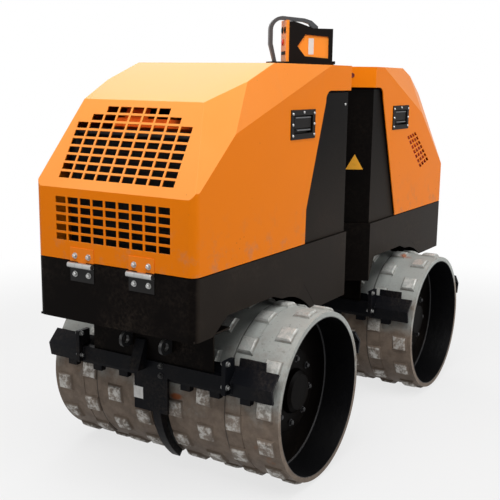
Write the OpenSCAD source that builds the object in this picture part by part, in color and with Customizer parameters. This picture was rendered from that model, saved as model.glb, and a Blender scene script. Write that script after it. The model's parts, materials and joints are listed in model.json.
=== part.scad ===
// Remote-controlled vibratory trench roller: two hooded units on pad drums, hinged in the middle.
// Frame: +X forward, +Y to the machine's left, +Z up, on the ground at the middle of the machine.
// Lengths in millimetres. Inside the modules x is the distance from the pivot, ahead of it for the
// front unit and behind it for the rear unit, whose parts are turned round by rear_side().

/* [Machine] */
// Distance between the two drum axles
wheelbase = 1012; // [1004:2:1030]
// Pivot to the face of the front unit
front_reach = 977; // [970:1:985]
// Pivot to the face of the rear unit
rear_reach = 905; // [895:1:915]
// Width over the drum shells
machine_w = 850; // [840:2:870]
// Width over the hoods
hood_w = 567; // [560:1:572]
// Height of the flat roofs
roof_z = 1278.5; // [1270:0.5:1285]
// Height of the lower edge of the hoods
hood_z = 716; // [712:1:720]
// Angle of the rear unit's pointed nose, from straight across
nose_angle = 30; // [28:1:31]

/* [Drums] */
// Outer radius of the drum shell
shell_r = 264; // [262:1:266]
// Thickness of the drum shell
shell_t = 17; // [12:1:20]
// Height of a pad above the shell
pad_h = 11; // [8:1:13]
// Pads in one row round the drum
pads_round = 14; // [12:1:16]
// Gap between the two drums of an axle
drum_gap = 70; // [66:1:74]
// Distance from one row of pads to the next
row_pitch = 105; // [102:1:106]
// Width of a pad at its foot
pad_w = 60; // [50:1:64]

/* [Sheet metal] */
// Thickness of the hood sheet
sheet = 3; // [2:0.5:4]
// Thickness of the chassis plates
plate = 6; // [5:1:8]
// Bend radius of the upright hood corners
bend_r = 25; // [15:1:35]
// Space between the hoods and the fixed panels inside them
panel_gap = 6; // [5:0.5:8]

/* [Pivot] */
// Height of the fore-and-aft bearing
pivot_z = 550; // [545:1:555]
// Radius of the upright pivot pin
pin_r = 20; // [18:1:24]
// Radius of the fore-and-aft spindle
spindle_r = 35; // [30:1:38]
// Radius of the steering lever
lever_r = 85; // [80:1:90]

/* [Grilles] */
// Distance between columns of holes
grille_pitch_y = 46; // [44:0.5:47]
// Distance between rows of holes
grille_pitch_s = 26.5; // [25:0.5:27]
// Bar left between two holes
grille_bar = 7; // [5:0.5:10]

/* [Hidden] */
$fn = 64;
hw = hood_w / 2;
axle_x = wheelbase / 2;
tip_r = shell_r + pad_h;
pad_step = 360 / pads_round;
pad_top = 40;                                   // length of a pad's top round the drum
pad_foot = 58;                                  // length of its foot
// The lowest rows stand a quarter step each side of straight down
axle_z = tip_r * cos(pad_step / 4 - asin(pad_top / 2 / tip_r));
pivot_x = (rear_reach - front_reach) / 2;
tail_x = 60;                                    // flat tail of the front unit, ahead of the pivot
apex_x = -18;                                   // rear unit's apex lies 18 ahead of the pivot
deck_z = hood_z - 3;
fit = 0.05;                                     // radial clearance of a running fit
big = 3000;

// Corners of the left half of each hood, [x, y, z]: face to slope, slope to crown, crown to roof,
// then the bend of the side and the side to the roof
f_corners = [[front_reach, hw, 922], [835, 213, 1168], [530, 253.2, roof_z],
    [785, hw, 1083], [210, hw, roof_z]];
r_corners = [[rear_reach, hw, 860], [752, 213, 1181], [470, 253.2, roof_z],
    [627, hw, 1100], [218, hw, roof_z]];

// ---------------------------------------------------------------- placing

module front_side() { translate([pivot_x, 0, 0]) children(); }
module rear_side() { translate([pivot_x, 0, 0]) mirror([1, 0, 0]) children(); }
module both_sides() { children(); mirror([0, 1, 0]) children(); }
// Axis of the children's Z laid along the machine's width
module across() { rotate([-90, 0, 0]) children(); }
// An [x, z] outline as a plate from y0 to y1
module side_plate(y0, y1) { translate([0, y1, 0]) rotate([90, 0, 0]) linear_extrude(y1 - y0) children(); }
module box(lo, hi) { translate(lo) cube(hi - lo); }
function flip(p) = [p[0], -p[1], p[2]];
function arc(c, r, a0, a1, n) =
    [for (i = [0:n]) c + r * [cos(a0 + (a1 - a0) * i / n), sin(a0 + (a1 - a0) * i / n)]];

// ---------------------------------------------------------------- hoods

// Everything on the inner side of the plane through three corners, moved in by inset
module inside_of(a, b, c, inset) {
    n0 = cross(b - a, c - a) / norm(cross(b - a, c - a));
    n = n0 * (a - [400, 0, 900]) < 0 ? -n0 : n0;
    translate(a - inset * n) rotate([0, acos(n[2]), atan2(n[1], n[0])])
        translate([-big / 2, -big / 2, -big]) cube(big);
}

// Plan of a unit with rounded outer corners: flat or pointed at the pivot end
module plan(reach, inner_x, inset, r) {
    w = hw - inset;
    x1 = reach - inset;
    q = max(r - inset, 0.5);
    tip = inner_x < 0 ? inner_x + inset / cos(nose_angle) : inner_x + inset;
    shoulder = inner_x < 0 ? tip + w * tan(nose_angle) : tip;
    difference() {
        polygon([[tip, 0], [shoulder, w], [x1, w], [x1, -w], [shoulder, -w]]);
        for (s = [-1, 1]) translate([x1 - q, s * (w - q)]) difference() {
            translate([0, s > 0 ? 0 : -q - 1]) square(q + 1);
            circle(q);
        }
    }
}

// Faceted hood body, moved in by inset on every face but the open bottom
module hood_body(k, reach, inner_x, inset) {
    intersection() {
        translate([0, 0, hood_z - inset]) linear_extrude(roof_z - hood_z) plan(reach, inner_x, inset, bend_r);
        inside_of(k[0], k[1], flip(k[0]), inset);
        inside_of(k[1], k[2], flip(k[1]), inset);
        both_corners(k, inset);
    }
}
module both_corners(k, inset) {
    intersection() {
        inside_of(k[0], k[1], k[3], inset);
        inside_of(k[3], k[4], k[2], inset);
        inside_of(flip(k[0]), flip(k[1]), flip(k[3]), inset);
        inside_of(flip(k[3]), flip(k[4]), flip(k[2]), inset);
    }
}

// Opening in the side of a hood round the fixed dark panel: foot, waist, shoulder, strip height
f_cut = [[368, 700], [364, 827], [246, 1160], 1197];
r_cut = [[379, 700], [377, 725], [219, 1168], 1206];
module side_cut(c, inner_x) {
    r = 34;
    polygon(concat([[inner_x - 60, 600], [c[0][0], 600], c[0], c[1], c[2]],
        arc([c[2][0] - r, c[3] - r], r, 20, 90, 5), [[inner_x - 60, c[3]]]));
}

module hood_shell(k, reach, inner_x, cut) {
    difference() {
        hood_body(k, reach, inner_x, 0);
        hood_body(k, reach, inner_x, sheet);
        side_plate(-hw - 1, hw + 1) side_cut(cut, inner_x);
    }
}

// Frame on a sloping face: origin at the lower edge, x up the slope, y to the left, z outwards
module on_slope(a, b) {
    up = [b[0] - a[0], 0, b[2] - a[2]];
    translate([a[0], 0, a[2]]) rotate([0, -atan2(up[2], up[0]), 0]) mirror([0, 0, 1]) children();
}

// Rows of the upper grille: number of holes in each row from the bottom up
upper_rows = [9, 9, 9, 9, 9, 9, 9, 7, 5];
rear_rows = [7, 7, 7, 7, 7, 5];
lower_rows = [9, 9, 9, 9, 9];
module grille_outline(rows, grow) {
    w0 = rows[0] * grille_pitch_y / 2 + grow;
    w1 = rows[len(rows) - 1] * grille_pitch_y / 2 + grow;
    full = len([for (n = rows) if (n == rows[0]) n]) * grille_pitch_s;
    top = len(rows) * grille_pitch_s;
    polygon([[-grow, -w0], [full, -w0], [top + grow, -w1], [top + grow, w1], [full, w0], [-grow, w0]]);
}
module grille_holes(rows) {
    for (i = [0:len(rows) - 1]) for (j = [0:rows[i] - 1])
        translate([i * grille_pitch_s + grille_bar / 2, (j - rows[i] / 2) * grille_pitch_y + grille_bar / 2])
            square([grille_pitch_s - grille_bar, grille_pitch_y - grille_bar]);
}
module grille_sheet(rows) {
    translate([0, 0, -sheet]) linear_extrude(sheet) difference() {
        grille_outline(rows, grille_bar / 2);
        grille_holes(rows);
    }
}
module grille_window(rows) {
    translate([0, 0, -20]) linear_extrude(40) grille_outline(rows, grille_bar / 2);
}
upper_s = 27.5;                                 // foot of the upper grille, up the slope
lower_z = 768;                                  // foot of the lower grille
rear_s = 40;
module at_upper_grille() { on_slope(f_corners[0], f_corners[1]) translate([upper_s, 0, 0]) children(); }
module at_lower_grille() {
    translate([front_reach, 0, lower_z]) rotate([0, -90, 0]) mirror([0, 0, 1]) children();
}
module at_rear_grille() { on_slope(r_corners[0], r_corners[1]) translate([rear_s, 0, 0]) children(); }

// Latch: centre [x, z] in the side of each hood
latch_l = 155;
latch_h = 90;
latch_t = 3;                                    // thickness of the flange
latch_deep = 16;                                // depth of the pan behind the hood's skin
latch_rim = 15;                                 // width of the flange round the pan
f_latch = [400, 1096];
r_latch = [392, 1093];
module at_latch(c) { translate([c[0], hw, c[1]]) rotate([-90, 0, 0]) children(); }
latch_pan = [latch_l - 2 * latch_rim, latch_h - 2 * latch_rim];
module latch_window() { cube([latch_pan[0] + 2, latch_pan[1] + 2, 20], center = true); }
module latch() {
    wall = 2;
    floor_z = wall - latch_deep;
    difference() {
        union() {
            translate([-latch_l / 2, -latch_h / 2, 0]) cube([latch_l, latch_h, latch_t]);
            translate([-latch_pan[0] / 2, -latch_pan[1] / 2, -latch_deep])
                cube([latch_pan[0], latch_pan[1], latch_deep + 1]);
        }
        translate([wall - latch_pan[0] / 2, wall - latch_pan[1] / 2, floor_z])
            cube([latch_pan[0] - 2 * wall, latch_pan[1] - 2 * wall, latch_deep + 10]);
    }
    // paddle
    translate([10 - latch_pan[0] / 2, 8 - latch_pan[1] / 2, floor_z - 0.5])
        cube([latch_pan[0] - 20, latch_pan[1] * 0.55, latch_deep - 2]);
}

// Louvre field in the sides of the rear hood: [x, z] corners, lower edge first
louvre = [[465.5, 1018], [558, 1033], [730.5, 905], [629, 877]];
louvre_cols = 4;
louvre_rows = 7;
function louvre_at(u, v) =
    louvre[0] * (1 - u) * (1 - v) + louvre[1] * u * (1 - v) + louvre[2] * u * v + louvre[3] * (1 - u) * v;
module louvre_outline(grow) {
    c = louvre_at(0.5, 0.5);
    polygon([for (p = louvre) p + grow * (p - c) / norm(p - c)]);
}
module louvre_sheet() {
    m = 0.14;                                   // share of a cell left as bar on each side
    side_plate(hw - sheet, hw) difference() {
        louvre_outline(6);
        for (i = [0:louvre_cols - 1]) for (j = [0:louvre_rows - 1])
            polygon([louvre_at((i + m) / louvre_cols, (j + m) / louvre_rows),
                louvre_at((i + 1 - m) / louvre_cols, (j + m) / louvre_rows),
                louvre_at((i + 1 - m) / louvre_cols, (j + 1 - m) / louvre_rows),
                louvre_at((i + m) / louvre_cols, (j + 1 - m) / louvre_rows)]);
    }
}
module louvre_window() { side_plate(hw - 20, hw + 20) louvre_outline(6); }

module front_hood() {
    color("darkorange") front_side() difference() {
        hood_shell(f_corners, front_reach, tail_x, f_cut);
        at_upper_grille() grille_window(upper_rows);
        at_lower_grille() grille_window(lower_rows);
        both_sides() at_latch(f_latch) latch_window();
    }
}
module rear_hood() {
    color("darkorange") rear_side() difference() {
        hood_shell(r_corners, rear_reach, apex_x, r_cut);
        at_rear_grille() grille_window(rear_rows);
        both_sides() at_latch(r_latch) latch_window();
        both_sides() louvre_window();
    }
}
module front_grille_upper() { color("darkorange") front_side() at_upper_grille() grille_sheet(upper_rows); }
module front_grille_lower() { color("darkorange") front_side() at_lower_grille() grille_sheet(lower_rows); }
module rear_grille() { color("darkorange") rear_side() at_rear_grille() grille_sheet(rear_rows); }
module rear_louvre_left() { color("darkorange") rear_side() louvre_sheet(); }
module rear_louvre_right() { color("darkorange") rear_side() mirror([0, 1, 0]) louvre_sheet(); }
module front_latch_left() { color("black") front_side() at_latch(f_latch) latch(); }
module front_latch_right() { color("black") front_side() mirror([0, 1, 0]) at_latch(f_latch) latch(); }
module rear_latch_left() { color("black") rear_side() at_latch(r_latch) latch(); }
module rear_latch_right() { color("black") rear_side() mirror([0, 1, 0]) at_latch(r_latch) latch(); }

// ---------------------------------------------------------------- hood hinges

hinge_y = 107;                                  // middle of each hinge
hinge_w = 88;
knuckle_r = 8;
hinge_out = 9;                                  // axis ahead of the unit's face
hinge_z = hood_z - 11;
hinge_pin_r = 4;
leaf_h = 40;
leaf_t = 2;
module hinge_axis(reach) { translate([reach + hinge_out, 0, hinge_z]) children(); }
module hinge_lug(y, w, r) { translate([0, y, 0]) across() translate([0, 0, -w / 2]) cylinder(w, r, r); }
module hood_leaf(reach) {
    knuckle = hinge_w / 3;
    for (s = [-1, 1]) difference() {
        union() {
            box([reach, s * hinge_y - hinge_w / 2, hinge_z + knuckle_r + 1],
                [reach + leaf_t, s * hinge_y + hinge_w / 2, hinge_z + knuckle_r + 1 + leaf_h]);
            box([reach, s * hinge_y - knuckle / 2 + 0.5, hinge_z],
                [reach + leaf_t, s * hinge_y + knuckle / 2 - 0.5, hinge_z + knuckle_r + 2]);
            hinge_axis(reach) hinge_lug(s * hinge_y, knuckle - 1, knuckle_r);
        }
        hinge_axis(reach) hinge_lug(s * hinge_y, hinge_w, hinge_pin_r + fit);
    }
}
module chassis_leaf(reach) {
    knuckle = hinge_w / 3;
    for (s = [-1, 1]) {
        box([reach, s * hinge_y - hinge_w / 2, hinge_z - knuckle_r - 1 - leaf_h],
            [reach + leaf_t, s * hinge_y + hinge_w / 2, hinge_z - knuckle_r - 1]);
        for (y = [s * hinge_y - knuckle, s * hinge_y + knuckle]) {
            hinge_axis(reach) hinge_lug(y, knuckle, knuckle_r);
            box([reach, y - knuckle / 2, hinge_z - knuckle_r - 2],
                [reach + leaf_t, y + knuckle / 2, hinge_z]);
        }
        hinge_axis(reach) hinge_lug(s * hinge_y, hinge_w, hinge_pin_r);
    }
}
module front_hood_hinges() { color("silver") front_side() hood_leaf(front_reach); }
module rear_hood_hinges() { color("silver") rear_side() hood_leaf(rear_reach); }
module front_hinge_brackets() { color("silver") front_side() chassis_leaf(front_reach); }
module rear_hinge_brackets() { color("silver") rear_side() chassis_leaf(rear_reach); }

// ---------------------------------------------------------------- chassis

arch_z = 582;                                   // top of the arch over the drums
skirt_x = 296;                                  // axle to the face of the plate that holds a scraper
skirt_w = 225;
comb_z = 396;                                   // foot of that plate, top of the scraper's bar
// Lower edge of a side plate: inner foot, arch start, arch end, outer foot
f_arch = [[275, 486], [364, arch_z], [815, arch_z], [892, 537]];
r_arch = [[147, 496], [192, arch_z], [574, arch_z], [693, 514]];

module side_profile(arch, inner_x, reach) {
    polygon([[inner_x, arch[0][1]], arch[0], arch[1], arch[2], arch[3], [reach, arch[3][1]],
        [reach, deck_z], [inner_x, deck_z]]);
}
module chassis(reach, inner_x, arch) {
    low = arch[0][1];
    foot = arch[3][1];
    // walls round the plan, trimmed to the side profile
    difference() {
        intersection() {
            translate([0, 0, low]) linear_extrude(deck_z - low) difference() {
                plan(reach, inner_x, 0, bend_r);
                plan(reach, inner_x, plate, bend_r);
            }
            side_plate(-hw - 1, hw + 1) side_profile(arch, inner_x, reach);
        }
        if (inner_x < 0) nose_window(low);
        if (inner_x > 0) cylinder_window(tail_x);
    }
    // deck, belly, and the cross plates that hold the two scrapers
    out_x = axle_x + skirt_x;
    in_x = axle_x - skirt_x;
    translate([0, 0, deck_z - 8]) linear_extrude(8) plan(reach, inner_x, plate / 2, bend_r);
    box([out_x - plate, plate - hw, foot], [reach - plate / 2, hw - plate, foot + plate]);
    box([out_x - plate, -skirt_w, comb_z], [out_x, skirt_w, foot + plate / 2]);
    difference() {
        box([in_x, -skirt_w, comb_z], [in_x + plate, skirt_w, deck_z - 4]);
        if (inner_x > 0) cylinder_window(in_x);
    }
    // neck plates that hold the drive case
    for (y = [-neck_y, neck_y])
        box([axle_x - 150, y - plate / 2, 600], [axle_x + 190, y + plate / 2, deck_z - 4]);
}
neck_y = 36;
// Way through the nose for the hitch
module nose_window(low) { box([-100, -140, low - 10], [140, 140, pivot_z + 90]); }
// Way through a cross plate for the steering cylinder
module cylinder_window(x) { box([x - 20, 35, pivot_z - 32], [x + 20, 135, pivot_z + 32]); }

module front_chassis() {
    color("dimgray") front_side() {
        chassis(front_reach, tail_x, f_arch);
        // clevis and pin of the steering cylinder
        for (z = [pivot_z - 45, pivot_z + 35]) translate([0, 0, z]) linear_extrude(10) {
            translate([axle_x - skirt_x, anchor[1] - 28]) square([anchor[0] - axle_x + skirt_x, 56]);
            translate(anchor) circle(28);
        }
        translate([anchor[0], anchor[1], pivot_z]) cylinder(84, anchor_r, anchor_r, center = true);
    }
}
carrier_x = 155;                                // rear face of the bearing's carrier plate
housing_x = 62;
module rear_chassis() {
    color("dimgray") rear_side() difference() {
        union() {
            chassis(rear_reach, apex_x, r_arch);
            // carrier plate and bearing housing
            box([carrier_x - 8, plate / 2 - hw, r_arch[0][1]], [carrier_x, hw - plate / 2, deck_z - 4]);
            translate([housing_x, 0, pivot_z]) rotate([0, 90, 0]) cylinder(carrier_x - housing_x, 55, 55);
        }
        translate([0, 0, pivot_z]) rotate([0, 90, 0]) cylinder(200, spindle_r + fit, spindle_r + fit);
    }
}

// Fixed dark panels between the hoods and the pivot
module tower_panels(cut, inner_x, over) {
    y1 = hw - sheet - panel_gap;
    c = [for (p = [cut[0], cut[1], cut[2]]) p + [over, 0]];
    both_sides() side_plate(y1 - 4, y1)
        polygon([[inner_x, deck_z], [c[0][0], deck_z], c[1], c[2], [c[2][0] - 25, cut[3] - panel_gap],
            [inner_x, cut[3] - panel_gap]]);
}
module front_tower() {
    y1 = hw - sheet - panel_gap;
    color("dimgray") front_side() {
        tower_panels(f_cut, tail_x + 2, 25);
        box([tail_x + 2, -y1, deck_z], [tail_x + 6, y1, f_cut[3] - panel_gap]);
    }
}
module rear_tower() {
    g = sheet + panel_gap;
    shoulder = apex_x + g / cos(nose_angle) + (hw - g) * tan(nose_angle);
    color("dimgray") rear_side() {
        tower_panels(r_cut, shoulder, 25);
        translate([0, 0, deck_z]) linear_extrude(r_cut[3] - panel_gap - deck_z) difference() {
            plan(shoulder + 20, apex_x, g, 0.5);
            plan(shoulder + 40, apex_x, g + 4, 0.5);
        }
    }
}

module engine_block() { color("gray") front_side() box([420, -190, deck_z], [780, 190, 1060]); }
module radiator() { color("darkgray") front_side() box([815, -215, deck_z], [855, 215, 1085]); }
module hydraulic_tank() { color("gray") rear_side() box([380, -200, deck_z], [700, 200, 1000]); }

// ---------------------------------------------------------------- drive cases and lashing eyes

case_w = 56;
axle_r = 45;
module drive_case() {
    difference() {
        side_plate(-case_w / 2, case_w / 2) {
            translate([axle_x, axle_z]) circle(190);
            polygon([[axle_x - 140, axle_z], [axle_x + 140, axle_z], [axle_x + 170, deck_z - 8],
                [axle_x - 130, deck_z - 8]]);
        }
        translate([axle_x, 0, axle_z]) across() cylinder(200, axle_r + fit, axle_r + fit, center = true);
    }
}
module front_drive_case() { color("dimgray") front_side() drive_case(); }
module rear_drive_case() { color("dimgray") rear_side() drive_case(); }

eye = [skirt_x + 30, 74, 457];                  // axle to the hole, half the spacing, height
eye_r = 12;
eye_t = 10;
module lashing_eyes() {
    body_r = 24;
    both_sides() difference() {
        side_plate(eye[1] - eye_t / 2, eye[1] + eye_t / 2) translate([axle_x, 0]) {
            translate([eye[0], eye[2]]) circle(body_r);
            translate([skirt_x, eye[2] - body_r]) square([eye[0] - skirt_x, 2 * body_r]);
        }
        translate([axle_x + eye[0], 0, eye[2]]) across() cylinder(400, eye_r, eye_r, center = true);
    }
}
module front_lashing_eyes() { color("dimgray") front_side() lashing_eyes(); }
module rear_lashing_eyes() { color("dimgray") rear_side() lashing_eyes(); }

// ---------------------------------------------------------------- scrapers

comb_w = 420;                                   // half the width of a scraper
flange = [268, 281];                            // clamp plates, from the middle
tooth_w = 34;
tooth_gap = 6;                                  // tooth to drum shell, bar to pads
strip = [-2, 28];                               // curved scraper between the two drums
// Section of the folded plate, outside: back edge, fold, foot; [x from the axle, z]
fold = [[256, 419], [296, 379], [287, 336]];
module around_drum(r) { translate([0, 0, axle_z]) across() cylinder(3 * comb_w, r, r, center = true); }
// Scraper on the side of a drum that faces +X, x from the axle
module scraper() {
    difference() {
        union() {
            side_plate(-comb_w, comb_w) polygon([fold[0], fold[1], fold[2], fold[2] - [8, -2],
                fold[1] - [9, 3], fold[0] - [6, 6]]);
            box([262, -flange[0], 350], [302, flange[0], comb_z]);
            both_sides() box([268, flange[0], 345], [318, flange[1], 446]);
        }
        around_drum(tip_r + tooth_gap);
    }
    // tab on the back edge
    side_plate(288, 375) polygon([[248, 408], [256, 412], [256, 419], [252, 442], [246, 442]]);
    // teeth that reach between the rows of pads
    both_sides() for (i = [0:2]) difference() {
        y = drum_gap / 2 + row_pitch * (i + 0.79);
        box([250, y - tooth_w / 2, 318], [286, y + tooth_w / 2, 350]);
        around_drum(shell_r + tooth_gap);
    }
    translate([0, strip[1], axle_z]) rotate([90, 0, 0]) linear_extrude(strip[1] - strip[0])
        polygon(concat(arc([0, 0], tip_r + 17, -50, 30, 20), arc([0, 0], tip_r - 6, 30, -50, 20)));
}
// Outer scraper with the bracket of the curved strip and the wedge in front of the plate
module outer_scraper() {
    translate([axle_x, 0, 0]) {
        scraper();
        box([286, -66, 232], [296, 60, 375]);
        side_plate(-52, -16) polygon([[skirt_x + 1, comb_z - 20], [skirt_x + 1, 458], [303, 458], [338, 376],
            [338, 368], [298, 368]]);
    }
}
module inner_scraper() { translate([axle_x, 0, 0]) mirror([1, 0, 0]) scraper(); }
module front_scraper_bar() { color("dimgray") front_side() outer_scraper(); }
module front_inner_scraper() { color("dimgray") front_side() inner_scraper(); }
module rear_scraper_bar() { color("dimgray") rear_side() outer_scraper(); }
module rear_inner_scraper() { color("dimgray") rear_side() inner_scraper(); }

// ---------------------------------------------------------------- drums

web_t = 14;
hub_r = 105;
// One row of pads: a toothed slab trimmed to sloping ends and a round top
module pad_row(phase) {
    slope = 9;
    intersection() {
        linear_extrude(pad_w, center = true) for (k = [0:pads_round - 1]) rotate(phase + k * pad_step)
            polygon([[shell_r - 8, -pad_foot / 2], [shell_r, -pad_foot / 2], [tip_r + 2, -pad_top / 2],
                [tip_r + 2, pad_top / 2], [shell_r, pad_foot / 2], [shell_r - 8, pad_foot / 2]]);
        rotate_extrude() polygon([[shell_r - 8, -pad_w / 2], [shell_r, -pad_w / 2],
            [tip_r, slope - pad_w / 2], [tip_r, pad_w / 2 - slope], [shell_r, pad_w / 2],
            [shell_r - 8, pad_w / 2]]);
    }
}
// Left drum of an axle, axis along +Z from the middle of the machine; side is +1 left, -1 right
module drum(side) {
    w = machine_w / 2 - drum_gap / 2;
    translate([0, 0, drum_gap / 2]) {
        difference() {
            cylinder(w, shell_r, shell_r);
            translate([0, 0, web_t]) cylinder(w, shell_r - shell_t, shell_r - shell_t);
            translate([0, 0, -1]) cylinder(w, axle_r, axle_r);
            // joint between drum and extension ring
            translate([0, 0, 264]) rotate_extrude() translate([shell_r - 1.5, 0]) square([3, 3]);
        }
        // drive motor cover
        difference() {
            translate([0, 0, web_t]) cylinder(80, hub_r, hub_r - 12);
            translate([0, 0, -1]) cylinder(200, axle_r, axle_r);
        }
    }
    for (i = [0:3]) translate([0, 0, drum_gap / 2 + row_pitch * (i + 0.29)])
        pad_row(side * (i % 2 == 0 ? 1 : -1) * pad_step / 4);
}
module drums_at() { translate([axle_x, 0, axle_z]) across() children(); }
module left_drum() { color("silver") drums_at() drum(1); }
module right_drum() { color("silver") drums_at() mirror([0, 0, 1]) drum(-1); }
module drum_axle() { color("gray") drums_at() cylinder(2 * 110, axle_r, axle_r, center = true); }
module front_drum_left() { front_side() left_drum(); }
module front_drum_right() { front_side() right_drum(); }
module front_axle() { front_side() drum_axle(); }
module rear_drum_left() { rear_side() left_drum(); }
module rear_drum_right() { rear_side() right_drum(); }
module rear_axle() { rear_side() drum_axle(); }

// ---------------------------------------------------------------- hitch

ear_t = 20;
yoke_h = 98;
module hitch_ears() {
    color("dimgray") front_side() difference() {
        for (z = [pivot_z - yoke_h / 2 - 1 - ear_t, pivot_z + yoke_h / 2 + 1])
            translate([0, 0, z]) linear_extrude(ear_t) {
            circle(45);
            polygon([[0, -45], [tail_x, -80], [tail_x, 80], [0, 45]]);
        }
        translate([0, 0, pivot_z]) cylinder(300, pin_r + fit, pin_r + fit, center = true);
    }
}
module pivot_pin() {
    z0 = pivot_z - yoke_h / 2 - ear_t - 8;
    color("silver") front_side() {
        translate([0, 0, z0]) cylinder(yoke_h + 2 * ear_t + 12, pin_r, pin_r);
        translate([0, 0, z0 + yoke_h + 2 * ear_t + 10]) cylinder(9, 32, 32);
    }
}
lever_a = 100;                                  // direction of the steering lever
lever_top = 15;                                 // its top, below the pivot's middle
module hitch_yoke() {
    color("dimgray") front_side() difference() {
        union() {
            translate([0, 0, pivot_z]) cylinder(yoke_h, 40, 40, center = true);
            translate([0, 0, pivot_z]) rotate([0, -90, 0]) cylinder(180, spindle_r, spindle_r);
            translate([0, 0, pivot_z]) rotate([0, -90, 0]) cylinder(60, 46, 46);
            translate([-157, 0, pivot_z]) rotate([0, -90, 0]) cylinder(18, 52, 52);
            rotate(lever_a) translate([0, 0, pivot_z - lever_top - 15]) linear_extrude(15) {
                translate([0, -26]) square([lever_r, 52]);
                translate([lever_r, 0]) circle(26);
            }
        }
        translate([0, 0, pivot_z]) cylinder(300, pin_r + fit, pin_r + fit, center = true);
    }
}

// Steering cylinder from the front chassis to the yoke's lever
anchor = [290, 79];
anchor_r = 12;
rod_r = 13;
rod_pin = lever_r * [cos(lever_a), sin(lever_a)];
barrel_l = 170;
module along_cylinder() {
    d = rod_pin - anchor;
    translate([anchor[0], anchor[1], pivot_z]) rotate([0, 0, atan2(d[1], d[0])]) rotate([0, 90, 0])
        children();
}
module steering_barrel() {
    color("dimgray") front_side() difference() {
        union() {
            translate([anchor[0], anchor[1], pivot_z]) cylinder(68, 24, 24, center = true);
            along_cylinder() translate([0, 0, 15]) cylinder(barrel_l - 15, 27, 27);
        }
        along_cylinder() translate([0, 0, 40]) cylinder(300, rod_r + fit, rod_r + fit);
        translate([anchor[0], anchor[1], pivot_z])
            cylinder(90, anchor_r + fit, anchor_r + fit, center = true);
    }
}
module steering_rod() {
    l = norm(rod_pin - anchor);
    color("silver") front_side() {
        along_cylinder() translate([0, 0, 100]) cylinder(l - 100, rod_r, rod_r);
        translate([rod_pin[0], rod_pin[1], pivot_z - lever_top + 1]) cylinder(30, 24, 24);
    }
}

// ---------------------------------------------------------------- transmitter on the roof

tx_at = [146, 160];
tx_turn = 42;
tx = [40, 74, 118];                             // half its depth, half its length, height of its frame
tx_panel = [-84, 143];                          // outer face and top of the control panel
tx_wall = 4;
module at_transmitter() { front_side() translate([tx_at[0], tx_at[1], roof_z]) rotate(tx_turn) children(); }
module transmitter_tray() {
    color("black") at_transmitter() difference() {
        union() {
            box([-44, -134, 0], [44, 78, 10]);
            box([-12, 78, 4], [12, 92, 14]);
        }
        box([-40, -130, 4], [40, 74, 20]);
    }
}
// Tongue that joins the control panel to the case through the frame
module tx_tongue(grow) { box([-24, tx_panel[0] + 2, 40 - grow], [24, -tx[1] + 10, 90 + grow]); }
module transmitter_case() {
    color("darkorange") at_transmitter() {
        box([tx_wall - tx[0], tx_wall - tx[1], 14], [tx[0] - tx_wall, tx[1] - tx_wall, tx[2] - 8]);
        box([2 - tx[0], tx_panel[0], 8], [tx[0] - 2, tx_panel[0] + 10, tx_panel[1]]);
        tx_tongue(0);
    }
}
module transmitter_frame() {
    color("black") at_transmitter() difference() {
        translate([-tx[0], 0, 0]) rotate([90, 0, 90]) linear_extrude(2 * tx[0])
            polygon([[-tx[1], 4], [tx[1], 4], [tx[1], tx[2]], [8, tx[2]], [-30, tx[2] + 13],
                [-56, tx_panel[1] - 4], [-tx[1], tx_panel[1] - 4]]);
        box([tx_wall - tx[0], tx_wall - tx[1], 14], [tx[0] - tx_wall, tx[1] - tx_wall, tx[2] - 8]);
        tx_tongue(0);
        // windows that show the case
        translate([-2 * tx[0], 0, 0]) rotate([90, 0, 90]) linear_extrude(4 * tx[0])
            polygon([[-46, 60], [-20, 98], [60, 92], [60, 22], [-20, 28]]);
    }
}
// Carrying hoop: outline over the case with rounded shoulders
module transmitter_guard() {
    hoop_w = 22;
    shoulder = [-90, 112];
    color("black") at_transmitter() translate([-hoop_w / 2, 0, 0]) rotate([90, 0, 90]) linear_extrude(hoop_w)
        polygon(concat([[-118, 4], [-120, 12], [-135, 66]], arc(shoulder, 45, 180, 90, 8),
            [[-16, 151], [8, 144], [30, tx[2] + 8], [30, tx[2]], [12, tx[2]], [0, 134], [-20, 140]],
            arc(shoulder, 33, 90, 180, 8), [[-123, 68], [-108, 4]]));
}

// ---------------------------------------------------------------- drawing

front_chassis();
front_tower();
engine_block();
radiator();
front_drive_case();
front_scraper_bar();
front_inner_scraper();
front_lashing_eyes();
front_hinge_brackets();
hitch_ears();
pivot_pin();
hitch_yoke();
steering_barrel();
steering_rod();
rear_chassis();
rear_tower();
hydraulic_tank();
rear_drive_case();
rear_scraper_bar();
rear_inner_scraper();
rear_lashing_eyes();
rear_hinge_brackets();
front_drum_left();
front_drum_right();
front_axle();
rear_drum_left();
rear_drum_right();
rear_axle();
front_hood();
front_grille_upper();
front_grille_lower();
front_hood_hinges();
front_latch_left();
front_latch_right();
transmitter_tray();
transmitter_case();
transmitter_frame();
transmitter_guard();
rear_hood();
rear_grille();
rear_louvre_left();
rear_louvre_right();
rear_hood_hinges();
rear_latch_left();
rear_latch_right();
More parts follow.
